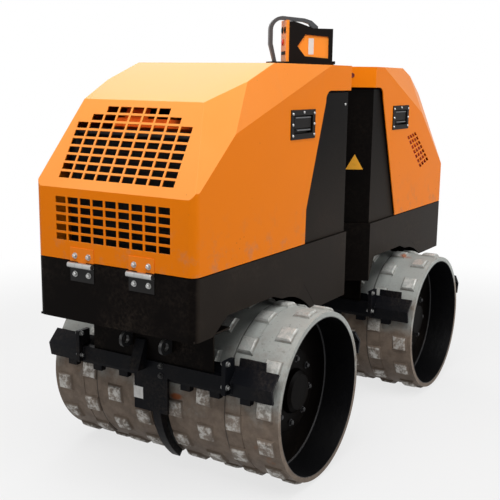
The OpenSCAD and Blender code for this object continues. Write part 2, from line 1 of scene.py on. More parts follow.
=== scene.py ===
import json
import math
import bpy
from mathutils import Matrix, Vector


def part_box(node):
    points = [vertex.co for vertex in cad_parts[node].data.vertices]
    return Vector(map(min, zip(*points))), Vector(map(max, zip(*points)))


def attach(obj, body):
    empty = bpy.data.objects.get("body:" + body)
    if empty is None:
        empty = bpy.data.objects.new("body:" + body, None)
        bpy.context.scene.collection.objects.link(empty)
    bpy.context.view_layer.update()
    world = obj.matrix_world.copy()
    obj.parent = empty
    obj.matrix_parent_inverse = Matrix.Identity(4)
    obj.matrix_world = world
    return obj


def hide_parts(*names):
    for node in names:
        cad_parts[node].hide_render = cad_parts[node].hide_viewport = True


bl_info = {
    "name": "Trench Roller Dresser",
    "version": (1, 0, 0),
    "blender": (4, 5, 0),
    "location": "3D View > Sidebar > Roller",
    "description": "Finishes, trim and studio for an articulated pad-foot trench roller",
    "category": "Object",
}

import bmesh
import bpy
from mathutils import Matrix, Vector
from mathutils.bvhtree import BVHTree
from mathutils.geometry import convex_hull_2d

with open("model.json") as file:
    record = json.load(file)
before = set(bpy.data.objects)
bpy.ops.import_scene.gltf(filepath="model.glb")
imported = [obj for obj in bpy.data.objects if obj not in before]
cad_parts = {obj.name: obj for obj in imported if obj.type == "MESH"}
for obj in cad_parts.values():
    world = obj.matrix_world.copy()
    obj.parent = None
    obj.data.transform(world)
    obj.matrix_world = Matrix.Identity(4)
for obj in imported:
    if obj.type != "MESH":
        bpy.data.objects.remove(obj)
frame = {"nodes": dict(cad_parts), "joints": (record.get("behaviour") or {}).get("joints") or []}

MM = 0.001
UP = Vector((0, 0, 1))
WORLD_AXES = Matrix.Identity(4)
# How far outside a node the lines that look for its surface start, in metres
AFAR = 0.5


def joint_place(name):
    """Where a joint's axis passes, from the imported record."""
    return Vector(next(j for j in frame["joints"] if j["name"] == name)["pos_m"])


PIVOT = joint_place("steering")
# Each unit: its name, the way from the pivot to its outer end, and its drums' axle
UNITS = (("front", 1, joint_place("front_drum_roll")), ("rear", -1, joint_place("rear_drum_roll")))
SIDES = (("left", 1), ("right", -1))
HOOD_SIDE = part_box("front_hood")[1].y
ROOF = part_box("front_hood")[1].z
# How the hand transmitter is turned on the roof
TRANSMITTER_TURN = math.radians(42)
# A facet of a hood is larger than this, in square metres; the strips of its round corners are smaller
FACET_AREA = 0.004
# Bends of the edges that are rounded, in degrees: a hood's folds and the shallowest between two of its
# facets, its cut edges, the edges of thick plates, and those of the drums' pads
FOLDS = (14, 80)
SHALLOW_FOLD = 5
CUT_EDGES = (80, 181)
PLATE_EDGES = (30, 181)
PAD_EDGES = (35, 181)
# A drum's shell, outside and inside, and how far from the machine's middle a dark seam runs round it
SHELL_RADIUS = 264 * MM
INSIDE_RADIUS = 247 * MM
SEAM_REACH = 245 * MM
# An orange-brown patch is this many times as wide as it is tall
PATCH_FLATTEN = 2.4
# Where an orange-brown patch sits on each unit's left drum, and how far it spreads: on the front drum rust
# through the enamel, on the rear drum a spot on the top rim
ORANGE_PATCHES = {
    "front": (Vector((0.738, 0.068, 0.284)), 30 * MM),
    "rear": (Vector((-0.49, 0.313, 0.545)), 34 * MM),
}


# ---------------------------------------------------------------- sizes and colours


def colour(name, text, value):
    return bpy.props.FloatVectorProperty(
        name=name, description=text, subtype="COLOR", size=3, min=0, max=1, default=value
    )


def length(name, text, value):
    return bpy.props.FloatProperty(name=name, description=text, unit="LENGTH", min=0, default=value)


def degrees(name, text, value):
    return bpy.props.FloatProperty(name=name, description=text, subtype="ANGLE", default=math.radians(value))


def amount(name, text, value):
    return bpy.props.FloatProperty(name=name, description=text, min=0, default=value)


class RollerColours(bpy.types.PropertyGroup):
    orange: colour("Orange", "Enamel of both hoods", (0.80, 0.195, 0.004))
    black: colour("Black", "Enamel of the chassis", (0.0035, 0.0026, 0.0023))
    scraper: colour("Scraper black", "Enamel of the scrapers", (0.0040, 0.0044, 0.0060))
    tower: colour("Tower black", "Enamel of the towers", (0.0030, 0.0024, 0.0022))
    drum: colour("Drum grey", "Worn enamel on the drums", (0.40, 0.42, 0.40))
    rust: colour("Rust", "Rust on bare steel", (0.26, 0.09, 0.03))
    dust: colour("Dust", "Dry soil dust", (0.26, 0.20, 0.155))
    zinc: colour("Zinc", "Plated hinges and fasteners", (0.50, 0.50, 0.49))
    plastic: colour("Plastic", "Black moulded plastic", (0.0065, 0.0052, 0.0048))
    # On the latch lips this paler grey also paints a highlight along the paddle's edges.
    hoop: colour("Hoop grey", "Carrying hoop and latch lips", (0.045, 0.045, 0.048))
    case: colour("Case", "Plastic case of the transmitter", (0.84, 0.27, 0.025))
    primer: colour("Primer", "Red primer inside the hoods", (0.85, 0.115, 0.006))
    stop: colour("Stop red", "Stop button of the transmitter", (0.55, 0.006, 0.006))
    sign: colour("Sign yellow", "Blank warning triangle", (0.80, 0.36, 0.02))
    iron: colour("Iron", "Engine, radiator and tank", (0.035, 0.034, 0.033))


class RollerSizes(bpy.types.PropertyGroup):
    fold: length("Fold", "Rounding of the hoods' folds", 6 * MM)
    edge: length("Edge", "Rounding of cut plate edges", 1.2 * MM)
    pad: length("Pad edge", "Rounding of the drums' cast pads", 5 * MM)
    casing: length("Casing edge", "Rounding of the engine and the tank", 12 * MM)
    web: length("Web depth", "From a drum's rim in to its black web", 110 * MM)
    arch: length("Arch radius", "Round the axle to the lips of the wheel arches", 290 * MM)
    bolt: length("Bolt", "Width across flats of a bolt's head", 11 * MM)
    screw: length("Screw", "Diameter of a latch screw's head", 9 * MM)
    fin: length("Fin pitch", "Distance between the radiator's fins", 6 * MM)


class RollerStudio(bpy.types.PropertyGroup):
    camera: bpy.props.FloatVectorProperty(
        name="Camera", description="Place of the camera", subtype="TRANSLATION", unit="LENGTH", size=3,
        default=(2.7702, 1.5679, 1.2364),
    )
    heading: degrees("Heading", "Direction the camera looks in, from +X", 211.41)
    tilt: degrees("Tilt", "Camera's angle below level", 11.16)
    roll: degrees("Roll", "Camera's turn about its view", 0.78)
    lens: amount("Lens", "Focal length in mm", 63.07)
    key: amount("Key", "Power of the overhead soft box", 172)
    side: amount("Side", "Power of the side soft box", 100)
    back: amount("Back", "Power of the soft box behind", 62)
    sky: amount("Sky", "Level of the light from all round", 0.25)


# ---------------------------------------------------------------- shader maths


class Value:
    """A shader socket. Python's operators on it add Math nodes."""

    def __init__(self, nodes, socket):
        self.nodes = nodes
        self.socket = socket

    def __add__(self, other):
        return self.nodes.math("ADD", self, other)

    def __radd__(self, other):
        return self.nodes.math("ADD", other, self)

    def __sub__(self, other):
        return self.nodes.math("SUBTRACT", self, other)

    def __rsub__(self, other):
        return self.nodes.math("SUBTRACT", other, self)

    def __mul__(self, other):
        return self.nodes.math("MULTIPLY", self, other)

    def __rmul__(self, other):
        return self.nodes.math("MULTIPLY", other, self)

    def __pow__(self, other):
        return self.nodes.math("POWER", self, other)

    def __abs__(self):
        return self.nodes.math("ABSOLUTE", self)

    def between(self, low, high):
        """0 below low, 1 above high, smooth between."""
        return self.nodes.node(
            "ShaderNodeMapRange",
            {"interpolation_type": "SMOOTHSTEP"},
            {"Value": self, "From Min": low, "From Max": high},
        )


class Nodes:
    """A node tree that grows one call at a time."""

    def __init__(self, tree):
        self.tree = tree

    def node(self, kind, settings, inputs, output=0):
        node = self.tree.nodes.new(kind)
        for key, value in settings.items():
            setattr(node, key, value)
        for key, value in inputs.items():
            self.feed(node.inputs[key], value)
        return Value(self, node.outputs[output])

    def feed(self, socket, value):
        if isinstance(value, Value):
            self.tree.links.new(value.socket, socket)
        elif socket.type == "RGBA":
            socket.default_value = (*value, 1)
        else:
            socket.default_value = value

    def math(self, operation, *values):
        return self.node("ShaderNodeMath", {"operation": operation}, dict(enumerate(values)))

    def seen(self):
        """1 for the rays that show the background: the camera's, reflected and refracted ones."""
        camera, glossy, refracted = (
            self.node("ShaderNodeLightPath", {}, {}, f"Is {kind} Ray")
            for kind in ("Camera", "Glossy", "Transmission")
        )
        return self.math("MAXIMUM", self.math("MAXIMUM", camera, glossy), refracted)


class Finish(Nodes):
    """A material. Keywords name its shader's inputs."""

    def __init__(self, name, **shader):
        self.material = bpy.data.materials.new(name)
        self.material.use_nodes = True
        super().__init__(self.material.node_tree)
        self.shader = self.tree.nodes["Principled BSDF"]
        self.set(**shader)
        self.point = self.node("ShaderNodeTexCoord", {}, {}, "Object")
        self.facing = self.node("ShaderNodeTexCoord", {}, {}, "Normal")

    def set(self, **shader):
        for key, value in shader.items():
            self.feed(self.shader.inputs[key.replace("_", " ").title().replace("Ior", "IOR")], value)

    def mix(self, share, a, b):
        return self.node("ShaderNodeMix", {"data_type": "RGBA"}, {0: share, 6: a, 7: b}, 2)

    def noise(self, scale, detail=3.0, rough=0.5, stretch=None):
        point = self.point
        if stretch:
            point = self.node("ShaderNodeMapping", {}, {"Vector": point, "Scale": stretch})
        return self.node(
            "ShaderNodeTexNoise", {}, {"Vector": point, "Scale": scale, "Detail": detail, "Roughness": rough}
        )

    def cells(self, scale):
        return self.node("ShaderNodeTexVoronoi", {}, {"Vector": self.point, "Scale": scale}, "Distance")

    def axis(self, name, vector=None):
        return self.node("ShaderNodeSeparateXYZ", {}, {0: vector or self.point}, name)

    def bump(self, height, distance, strength):
        inputs = {"Height": height, "Distance": distance, "Strength": strength}
        self.feed(self.shader.inputs["Normal"], self.node("ShaderNodeBump", {}, inputs))


def hypot(*parts):
    """How long a line is, from its parts along the axes."""
    squares = [part * part for part in parts]
    return sum(squares[1:], squares[0]) ** 0.5


def shade(tint, level):
    """A colour made darker."""
    return [part * level for part in tint]


def orange_enamel(tint, dust):
    """Gloss enamel with a pale film on what faces up, partly dust and partly a painted sheen of the sky, low
    splashes and a few stone chips.
    """
    f = Finish("orange_enamel", specular_ior_level=0.05)
    cloud = f.noise(3.0, 4.0)
    grain = f.noise(45.0, 4.0, 0.65)
    up = f.axis("Z", f.facing).between(0.05, 0.5)
    # What faces up is mixed toward a pale tan: partly a film of dust, partly a painted sheen standing for
    # the reflection of the sky and the overhead lamps.
    film = up * (0.12 + 0.11 * cloud)
    low = 1 - f.axis("Z").between(0.70, 0.90)
    splash = low * f.noise(22.0, 6.0, 0.7).between(0.5, 0.72) * 0.35
    streak = f.noise(14.0, 4.0, 0.6, (1.0, 1.0, 0.08)).between(0.6, 0.8) * 0.08
    chip = f.cells(55.0).between(0.10, 0.05) * f.noise(5.0, 2.0).between(0.62, 0.70)
    paint_tone = f.mix(cloud, shade(tint, 0.95), tint)
    dust_and_sheen = f.mix(film, paint_tone, (0.85, 0.73, 0.33))
    dirty = f.mix(splash + streak * grain, dust_and_sheen, dust)
    f.set(
        base_color=f.mix(chip * 0.8, dirty, (0.10, 0.045, 0.03)),
        roughness=0.30 + 0.14 * cloud + 0.35 * splash + 0.3 * chip,
    )
    f.bump(f.noise(420.0, 1.0) - chip * 2.0, 0.00015, 0.25)
    return f.material


def black_enamel(name, tint, dust, level, film=0.0, gloss=0.025):
    """Satin black enamel with dry dust low down and scuffs; film is the dust on what faces sideways."""
    f = Finish(name, specular_ior_level=gloss)
    cloud = f.noise(5.0, 5.0, 0.6)
    speck = f.noise(90.0, 3.0, 0.7)
    scuff = f.noise(16.0, 5.0, 0.7, (1.0, 1.0, 4.0)).between(0.62, 0.78) * 0.5
    low = 1 - f.axis("Z").between(0.30, 0.62)
    dusty = (0.35 + low) * cloud.between(0.42, 0.75) * speck.between(0.35, 0.7) * level
    sideways = abs(f.axis("Y", f.facing)).between(0.75, 0.98)
    settled = sideways * (1.15 - f.axis("Z")).between(0.0, 0.5) * (0.7 + 0.6 * cloud) * film
    f.set(
        base_color=f.mix(dusty + scuff * level * 0.3 + settled, tint, dust),
        roughness=0.30 + 0.22 * cloud + 0.3 * dusty + 0.25 * scuff,
    )
    f.bump(speck, 0.0004, 0.3)
    return f.material


def drum_enamel(name, axle, tint, rust, dust, patch):
    """Grey enamel rubbed bright on the pads, with soil between them; black inside the shell. The shell is
    lighter towards the top and browner and darker towards the bottom, partly soil and partly painted light
    above and painted shade below.
    """
    f = Finish(name, specular_ior_level=0.18)
    z = f.axis("Z") - axle.z
    across = f.axis("Y")
    r = hypot(f.axis("X") - axle.x, z)
    inside = 1 - r.between(INSIDE_RADIUS + 0.5 * MM, INSIDE_RADIUS + 3.5 * MM)
    top = r.between(SHELL_RADIUS + 4 * MM, SHELL_RADIUS + 9 * MM)
    foot = r.between(SHELL_RADIUS + 0.3 * MM, SHELL_RADIUS + 4 * MM) * (1 - top)
    cloud = f.noise(7.0, 6.0, 0.65)
    grit = f.noise(75.0, 5.0, 0.7)
    blotch = f.noise(24.0, 5.0, 0.65)
    # Lighter towards the top: partly enamel that the soil has not reached, partly painted light where the
    # overhead lamps and the sky fall.
    clean_and_painted_light = (z * 3.0 + cloud * 1.6).between(0.75, 1.35)
    # Darker towards the very bottom: painted shade, mixed into the soil colour.
    painted_low_shade = (0.02 - z).between(0.08, 0.26) * 0.45
    dry = f.mix(blotch.between(0.3, 0.7), shade(dust, 0.55), shade(dust, 0.85))
    soil = f.mix(painted_low_shade, dry, shade(dust, 0.30))
    grey = f.mix(cloud, shade(tint, 0.8), tint)
    shell = f.mix(clean_and_painted_light * (0.70 + 0.5 * grit), soil, grey)
    stained = f.mix(grit.between(0.56, 0.72) * 0.45, shell, shade(dust, 0.30))
    ring = 1 - abs(abs(across) - SEAM_REACH).between(0.8 * MM, 3.5 * MM)
    lined = f.mix(ring * (1 - top) * 0.7, stained, (0.03, 0.024, 0.02))
    packed = f.mix(foot * blotch.between(0.3, 0.6) * 0.65, lined, shade(dust, 0.45))
    worn = f.noise(52.0, 4.0, 0.7).between(0.40, 0.60)
    rubbed = f.mix(top * (0.10 + 0.70 * worn) * grit.between(0.3, 0.5), packed, (0.56, 0.55, 0.52))
    rusty = f.noise(10.0, 6.0, 0.7).between(0.64, 0.74) * grit.between(0.35, 0.6)
    place, spread = patch
    away = hypot(f.axis("X") - place.x, across - place.y, (f.axis("Z") - place.z) * PATCH_FLATTEN)
    near = 1 - (away * (0.4 + 1.2 * blotch)).between(spread * 0.5, spread)
    outer = f.mix(near * 0.85, f.mix(rusty * 0.6, rubbed, rust), (0.27, 0.065, 0.010))
    bare = top * worn
    f.set(
        base_color=f.mix(inside, outer, (0.0025, 0.0025, 0.003)),
        roughness=0.50 + 0.22 * grit - 0.22 * bare - 0.2 * inside,
        metallic=0.45 * bare * (1 - inside),
    )
    f.bump(grit + blotch * 0.8 - ring, 0.0016, 0.6)
    return f.material


def zinc_plate(name, tint):
    """Zinc plating with faint spangle and grey smears."""
    f = Finish(name, metallic=1.0)
    spangle = f.cells(120.0)
    smear = f.noise(18.0, 4.0)
    f.set(
        base_color=f.mix(smear, shade(tint, 0.7), tint),
        roughness=0.24 + 0.25 * spangle + 0.15 * smear,
    )
    f.bump(f.noise(160.0, 2.0), 0.0002, 0.3)
    return f.material


def rubbed_and_highlight_enamel(name, tint, steel, share):
    """Black enamel with bare steel on what faces up, partly rubbed through by chains and weather and partly
    a painted highlight where the overhead light falls.
    """
    f = Finish(name, specular_ior_level=0.25)
    cloud = f.noise(30.0, 5.0, 0.65)
    # Bare steel on what faces up: partly wear, partly a painted highlight.
    bare = f.axis("Z", f.facing).between(0.05, 0.75) * cloud.between(0.35, 0.6) * share
    f.set(
        base_color=f.mix(bare, f.mix(cloud, shade(tint, 0.7), tint), steel),
        roughness=0.34 + 0.2 * cloud,
        metallic=bare * 0.6,
    )
    f.bump(f.noise(200.0, 3.0), 0.0003, 0.4)
    return f.material


def hinge_finish(name, axis, paint_tone, zinc):
    """Enamelled leaves round a plated barrel: the distance from the hinge's axis tells which."""
    f = Finish(name, specular_ior_level=0.2)
    leaf = hypot(f.axis("X") - axis.x, f.axis("Z") - axis.z).between(9 * MM, 10 * MM)
    smear = f.noise(30.0, 4.0)
    f.set(
        base_color=f.mix(leaf, f.mix(smear, shade(zinc, 0.7), zinc), paint_tone),
        roughness=0.28 + 0.2 * smear,
        metallic=1 - leaf,
    )
    f.bump(f.noise(160.0, 2.0), 0.0002, 0.3)
    return f.material


def moulded_plastic(name, tint, rough, shine=0.3):
    """Moulded plastic with a fine grain and slight fading."""
    f = Finish(name, specular_ior_level=shine)
    faded = f.noise(12.0, 3.0)
    f.set(
        base_color=f.mix(faded, shade(tint, 0.85), tint),
        roughness=rough + 0.1 * f.noise(30.0, 3.0),
    )
    f.bump(f.noise(700.0, 1.0), 0.0003, 0.35)
    return f.material


def plain_sign(name, tint, rim):
    """A printed plate without any print: faded, with a grubby edge."""
    f = Finish(name, specular_ior_level=0.3)
    grub = f.noise(40.0, 5.0, 0.65).between(0.5, 0.8) * 0.35
    f.set(base_color=f.mix(grub, tint, rim), roughness=0.35 + 0.3 * grub)
    f.bump(f.noise(300.0, 2.0), 0.0001, 0.2)
    return f.material


def cast_iron(name, tint):
    """Rough painted iron or sheet."""
    f = Finish(name, specular_ior_level=0.2)
    f.set(
        base_color=f.mix(f.noise(14.0, 5.0), shade(tint, 0.5), tint),
        roughness=0.6 + 0.2 * f.noise(40.0),
    )
    f.bump(f.noise(150.0, 4.0), 0.001, 0.5)
    return f.material


def core_finish(tint):
    """Dusty fins of a radiator."""
    f = Finish("radiator_core", specular_ior_level=0.3, metallic=0.4)
    clogged = f.noise(20.0, 5.0, 0.65)
    f.set(base_color=f.mix(clogged, shade(tint, 0.4), tint), roughness=0.5 + 0.3 * clogged)
    f.bump(f.noise(200.0, 2.0), 0.0004, 0.4)
    return f.material


# ---------------------------------------------------------------- shared steps


def properties():
    scene = bpy.context.scene
    return scene.roller_colours, scene.roller_sizes, scene.roller_studio


def paint(names, material):
    """Give CAD nodes a finish through their own material slots."""
    for name in names:
        data = frame["nodes"][name].data
        data.materials.clear()
        data.materials.append(material)


def finish_of(node):
    return frame["nodes"][node].data.materials[0]


def aim(place, toward, spin=0):
    """The matrix of a piece that stands at a place with its Z along a direction."""
    look = Vector(toward).to_track_quat("Z", "Y").to_matrix().to_4x4()
    return Matrix.Translation(place) @ look @ Matrix.Rotation(spin, 4, "Z")


def upright(place, toward, spin=0):
    """The same with its X upward, or turned from there."""
    at = aim(place, toward)
    up = at.to_3x3().inverted() @ UP
    return at @ Matrix.Rotation(math.atan2(up.y, up.x) + spin, 4, "Z")


def cad_mesh(node):
    """A CAD node's own shape in row coordinates, with its corners joined."""
    source = frame["nodes"][node]
    bm = bmesh.new()
    bm.from_mesh(source.data)
    bm.transform(source.matrix_world)
    bmesh.ops.remove_doubles(bm, verts=bm.verts, dist=0.02 * MM)
    return bm


def seat(node, start, toward):
    """Where a straight line first meets a CAD node, and which way the surface faces there."""
    bm = cad_mesh(node)
    place, normal, _, _ = BVHTree.FromBMesh(bm).ray_cast(Vector(start), Vector(toward))
    bm.free()
    if place is None:
        raise RuntimeError(f"{node} isn't met from {tuple(start)}")
    return place, normal


def make(name, bm, finish, body, smooth=30):
    """Make the mesh an object with its finish, and let it ride a body."""
    bmesh.ops.recalc_face_normals(bm, faces=bm.faces)
    data = bpy.data.meshes.new(name)
    bm.to_mesh(data)
    bm.free()
    data.materials.append(finish)
    data.polygons.foreach_set("use_smooth", [True] * len(data.polygons))
    data.set_sharp_from_angle(angle=math.radians(smooth))
    piece = bpy.data.objects.new(name, data)
    bpy.context.scene.collection.objects.link(piece)
    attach(piece, body)
    return piece


def bevel(bm, edges, radius, segments):
    bmesh.ops.bevel(
        bm, geom=edges, offset=radius, offset_type="OFFSET", segments=segments, profile=0.5,
        affect="EDGES", clamp_overlap=True, material=-1,
    )


def round_bends(bm, bends, radius, segments, facet=math.inf):
    """Round the edges that bend by the given degrees, and the shallower ones between two large facets."""
    low, high = (math.radians(bend) for bend in bends)
    edges = []
    for edge in bm.edges:
        if len(edge.link_faces) == 2:
            bend = edge.calc_face_angle()
            large = min(face.calc_area() for face in edge.link_faces) > facet
            if low < bend < high or (large and math.radians(SHALLOW_FOLD) < bend < high):
                edges.append(edge)
    bevel(bm, edges, radius, segments)


def rounded(name, node, body, *steps):
    """Stands for a CAD node: the same shape with its edges rounded, one step after another."""
    bm = cad_mesh(node)
    bmesh.ops.dissolve_limit(bm, angle_limit=math.radians(0.5), verts=bm.verts, edges=bm.edges)
    for step in steps:
        round_bends(bm, **step)
    bmesh.ops.dissolve_degenerate(bm, edges=bm.edges, dist=0.002 * MM)
    piece = make(name, bm, finish_of(node), body, 40)
    piece.modifiers.new("flat_faces", "WEIGHTED_NORMAL").keep_sharp = True
    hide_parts(node)


def cone(bm, at, low, high, r1, r2, segments=24):
    """A closed cone or disc from one height to another along the Z of at."""
    matrix = at @ Matrix.Translation((0, 0, (low + high) / 2))
    return bmesh.ops.create_cone(
        bm, cap_ends=True, segments=segments, radius1=r1, radius2=r2, depth=high - low, matrix=matrix
    )["verts"]


def block(bm, at, low, high, rounding=0, segments=2):
    """A box between two corners in the axes of at, with its edges rounded."""
    low, high = Vector(low), Vector(high)
    matrix = at @ Matrix.Translation((low + high) / 2) @ Matrix.Diagonal((*(high - low), 1))
    verts = bmesh.ops.create_cube(bm, size=1, matrix=matrix)["verts"]
    if rounding:
        soften(bm, verts, rounding, segments)


def soften(bm, verts, radius, segments=1):
    """Round all edges between the given corners."""
    bevel(bm, list(dict.fromkeys(edge for vert in verts for edge in vert.link_edges)), radius, segments)


def turn(bm, at, rows, steps, unit=MM, ring=False):
    """Turn a profile of radii and heights right round the Z of at; a ring's profile closes on itself."""
    verts = [bm.verts.new(at @ Vector((radius * unit, 0, height * unit))) for radius, height in rows]
    edges = [bm.edges.new(pair) for pair in zip(verts, verts[1:])]
    if ring:
        edges.append(bm.edges.new((verts[-1], verts[0])))
    bmesh.ops.spin(
        bm, geom=verts + edges, cent=at.to_translation(), axis=at.to_3x3().col[2], angle=math.tau,
        steps=steps, use_merge=True,
    )
    bmesh.ops.remove_doubles(bm, verts=bm.verts, dist=0.01 * MM)


def hex_bolt(bm, at, flats):
    """Washer, hexagon head with a chamfered crown, and the face's low disc."""
    corner = 1 / math.sqrt(3)
    # Segments, then heights and radii of the foot and the top, in widths across flats
    for segments, low, high, r1, r2 in (
        (24, 0, 0.1, 0.8, 0.77),
        (6, 0.1, 0.56, corner, corner),
        (6, 0.56, 0.68, corner * 0.98, corner * 0.7),
        (24, 0.68, 0.72, corner * 0.66, corner * 0.6),
    ):
        cone(bm, at, low * flats, high * flats, r1 * flats, r2 * flats, segments)


def pan_screw(bm, at, size):
    """Domed screw head with a round socket."""
    # Radius and height in diameters of the head: up the dome, then down into the socket
    dome = ((0, 0), (0.5, 0), (0.5, 0.14), (0.44, 0.30), (0.30, 0.40), (0.24, 0.41))
    socket = ((0.22, 0.40), (0.22, 0.16), (0, 0.16))
    turn(bm, at, dome + socket, 12, size)


# ---------------------------------------------------------------- what each finish covers

ORANGE = (
    "front_hood", "front_grille_upper", "front_grille_lower", "rear_hood", "rear_grille",
    "rear_louvre_left", "rear_louvre_right",
)
CHASSIS = (
    "front_chassis", "rear_chassis", "front_drive_case", "rear_drive_case", "hitch_ears", "hitch_yoke",
)
SCRAPERS = (
    "front_scraper_bar", "front_inner_scraper", "rear_scraper_bar", "rear_inner_scraper", "steering_barrel",
)
TOWERS = ("front_tower", "rear_tower")
IRON = ("engine_block", "radiator", "hydraulic_tank", "front_axle", "rear_axle")
EYES = ("front_lashing_eyes", "rear_lashing_eyes")
ZINC = ("pivot_pin", "steering_rod")
PLASTIC = (
    "front_latch_left", "front_latch_right", "rear_latch_left", "rear_latch_right",
    "transmitter_tray", "transmitter_frame",
)


# ---------------------------------------------------------------- operators


class ROLLER_OT_finishes(bpy.types.Operator):
    """Give every part of the machine its enamel, steel or plastic"""

    bl_idname = "roller.finishes"
    bl_label = "Finishes"

    def execute(self, context):
        colours, _, _ = properties()
        orange, black, dust, zinc = colours.orange, colours.black, colours.dust, colours.zinc
        paint(ORANGE, orange_enamel(orange, dust))
        paint(CHASSIS, black_enamel("chassis_black", black, dust, 0.16, film=0.055))
        paint(SCRAPERS, black_enamel("scraper_black", colours.scraper, dust, 0.10, gloss=0.06))
        paint(TOWERS, black_enamel("tower_black", colours.tower, dust, 0.06, film=0.065, gloss=0.02))
        paint(IRON, cast_iron("cast_iron", colours.iron))
        paint(ZINC, zinc_plate("zinc_plate", zinc))
        paint(EYES, rubbed_and_highlight_enamel("rubbed_and_highlight_black", (0.022, 0.022, 0.023), zinc, 0.9))
        paint(PLASTIC, moulded_plastic("black_plastic", colours.plastic, 0.42, 0.06))
        paint(("transmitter_guard",), moulded_plastic("grey_hoop", colours.hoop, 0.38, 0.5))
        paint(("transmitter_case",), moulded_plastic("orange_plastic", colours.case, 0.35))
        for unit, _, axle in UNITS:
            patch = ORANGE_PATCHES[unit]
            grey = drum_enamel(f"{unit}_drum_grey", axle, colours.drum, colours.rust, dust, patch)
            paint((f"{unit}_drum_left", f"{unit}_drum_right"), grey)
            axis = joint_place(f"{unit}_hood_lift")
            paint((f"{unit}_hood_hinges",), hinge_finish(f"{unit}_hinge_orange", axis, orange, zinc))
            paint((f"{unit}_hinge_brackets",), hinge_finish(f"{unit}_hinge_black", axis, black, zinc))
        return {"FINISHED"}


class ROLLER_OT_hoods(bpy.types.Operator):
    """Round the folds of both hoods as bent sheet is"""

    bl_idname = "roller.hoods"
    bl_label = "Hood sheets"

    def execute(self, context):
        _, sizes, _ = properties()
        folds = {"bends": FOLDS, "radius": sizes.fold, "segments": 3, "facet": FACET_AREA}
        cuts = {"bends": CUT_EDGES, "radius": sizes.edge * 0.8, "segments": 1}
        for unit, _, _ in UNITS:
            rounded(f"{unit}_hood_sheet", f"{unit}_hood", f"{unit}_hood", folds, cuts)
        return {"FINISHED"}


class ROLLER_OT_chassis(bpy.types.Operator):
    """Round the plate edges of the chassis, the scrapers and the towers, and the casings under the hoods"""

    bl_idname = "roller.chassis"
    bl_label = "Chassis plates"

    def execute(self, context):
        _, sizes, _ = properties()
        plates = {"bends": PLATE_EDGES, "radius": sizes.edge, "segments": 2}
        casing = {"bends": PLATE_EDGES, "radius": sizes.casing, "segments": 3}
        for unit, _, _ in UNITS:
            for node in ("chassis", "tower", "scraper_bar", "inner_scraper"):
                name = f"{unit}_{node}"
                rounded(f"{name}_plates", name, f"{unit}_frame", plates)
        for unit, node in (("front", "engine_block"), ("rear", "hydraulic_tank")):
            rounded(f"{node}_casing", node, f"{unit}_frame", casing)
        return {"FINISHED"}


class ROLLER_OT_arch_lips(bpy.types.Operator):
    """Round lips that close one end of each wheel arch down to the drum's pads"""

    bl_idname = "roller.arch_lips"
    bl_label = "Arch lips"

    def execute(self, context):
        _, sizes, _ = properties()
        # Back from the axle and up from the ground, in mm: each lip's foot and its arch's upper corner
        shapes = (((234, 486), (146, 584)), ((190, 514), (72, 584)))
        for (unit, _, axle), (foot, corner) in zip(UNITS, shapes):
            bm = bmesh.new()
            for _, side in SIDES:
                self.lip(bm, axle, foot, corner, side, sizes.arch)
            make(f"{unit}_arch_lips", bm, finish_of(f"{unit}_chassis"), f"{unit}_frame")
        return {"FINISHED"}

    def lip(self, bm, axle, foot, corner, side, radius):
        """A plate under the side plate's edge: up the arc, past the axle, and back to the corner."""
        past, thick, recess = 60 * MM, 5 * MM, 0.5 * MM
        foot, corner = (Vector((back * MM, up * MM - axle.z)) for back, up in (foot, corner))
        start = math.acos(foot.y / radius)
        steps = 16
        angles = [start * (1 - i / steps) for i in range(steps + 1)]
        arc = [Vector((radius * math.sin(a), radius * math.cos(a))) for a in angles]
        outline = [foot, *arc, Vector((-past, corner.y)), corner]
        y = side * (HOOD_SIDE - recess)
        face = bm.faces.new([bm.verts.new((axle.x - p.x, y, axle.z + p.y)) for p in outline])
        grown = bmesh.ops.extrude_face_region(bm, geom=[face])["geom"]
        moved = [item for item in grown if isinstance(item, bmesh.types.BMVert)]
        bmesh.ops.translate(bm, verts=moved, vec=(0, -side * thick, 0))


class ROLLER_OT_louvre_ducts(bpy.types.Operator):
    """Air ducts behind the rear hood's side louvres"""

    bl_idname = "roller.louvre_ducts"
    bl_label = "Louvre ducts"

    def execute(self, context):
        primer = cast_iron("duct_primer", (0.60, 0.050, 0.030))
        for side, way in SIDES:
            self.duct(f"rear_louvre_{side}", f"rear_louvre_duct_{side}", way, primer)
        return {"FINISHED"}

    def duct(self, node, name, way, finish):
        """An open tray that follows the louvre's outline."""
        margin, wall, deep = 5 * MM, 1.5 * MM, 12 * MM
        sheet = cad_mesh(node)
        flat = sorted({(round(v.co.x, 5), round(v.co.z, 5)) for v in sheet.verts})
        sheet.free()
        low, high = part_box(node)
        back = low.y if way > 0 else high.y
        corners = [Vector((flat[i][0], back, flat[i][1])) for i in convex_hull_2d(flat)]
        middle = sum(corners, Vector()) / len(corners)
        bm = bmesh.new()
        loops = []
        for grow, depth in ((margin, 0), (margin, deep), (margin - wall, deep - wall), (margin - wall, 0)):
            shift = Vector((0, -way * depth, 0))
            loops.append([bm.verts.new(c + (c - middle).normalized() * grow + shift) for c in corners])
        outer, bottom, floor, inner = loops
        bm.faces.new(bottom)
        bm.faces.new(floor)
        for near, far in ((outer, bottom), (floor, inner), (inner, outer)):
            for i in range(len(corners)):
                bm.faces.new((near[i - 1], near[i], far[i], far[i - 1]))
        make(name, bm, finish, "rear_hood")


class ROLLER_OT_drums(bpy.types.Operator):
    """Round the cast pads and rims of the four drums"""

    bl_idname = "roller.drums"
    bl_label = "Drum shells"

    def execute(self, context):
        _, sizes, _ = properties()
        pads = {"bends": PAD_EDGES, "radius": sizes.pad, "segments": 3}
        for unit, _, _ in UNITS:
            for side, _ in SIDES:
                node = f"{unit}_drum_{side}"
                rounded(f"{node}_shell", node, f"{unit}_drums", pads)
        return {"FINISHED"}


